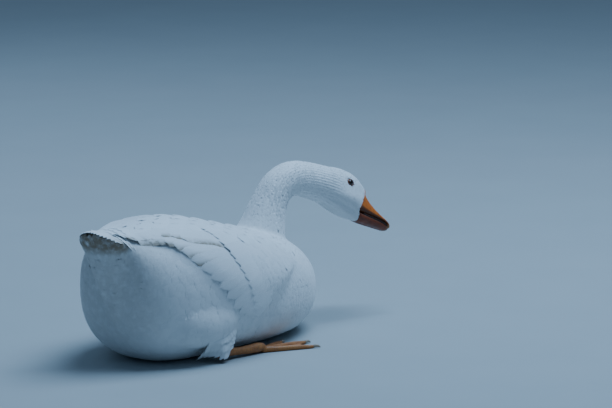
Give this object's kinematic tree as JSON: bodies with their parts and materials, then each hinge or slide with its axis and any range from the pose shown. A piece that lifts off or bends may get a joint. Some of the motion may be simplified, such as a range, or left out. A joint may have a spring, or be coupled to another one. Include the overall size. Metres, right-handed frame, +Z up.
{
  "type": "domestic goose",
  "caption": "White domestic goose resting on its belly, tail raised, neck arched forward and bill lowered, as a still life-size museum model",
  "frame": {"origin": "middle of the goose's box on the floor it rests on", "axes": "+X from tail to head, +Y to the goose's left, +Z up"},
  "size_m": [0.6244, 0.2966, 0.2448],
  "materials": {
    "white_feather": "soft white contour feathers",
    "flight_feather": "smooth white flight feathers",
    "bill_orange": "satin horn",
    "eye_brown": "wet gloss",
    "leg_orange": "scaly skin",
    "claw_horn": "horn"
  },
  "bodies": {
    "root": {"trunk": "white_feather", "neck_lower": "white_feather", "neck_middle": "white_feather", "neck_upper": "white_feather", "head": "white_feather", "thigh_left": "white_feather", "thigh_right": "white_feather", "wing_left": "flight_feather", "wing_right": "flight_feather", "tail": "flight_feather", "bill_upper": "bill_orange", "bill_lower": "bill_orange", "eye_left": "eye_brown", "eye_right": "eye_brown", "shank_left": "leg_orange", "shank_right": "leg_orange", "foot_left": "leg_orange", "foot_right": "leg_orange", "claw_left_inner": "claw_horn", "claw_left_middle": "claw_horn", "claw_left_outer": "claw_horn", "claw_right_inner": "claw_horn", "claw_right_middle": "claw_horn", "claw_right_outer": "claw_horn"}
  },
  "joints": []
}
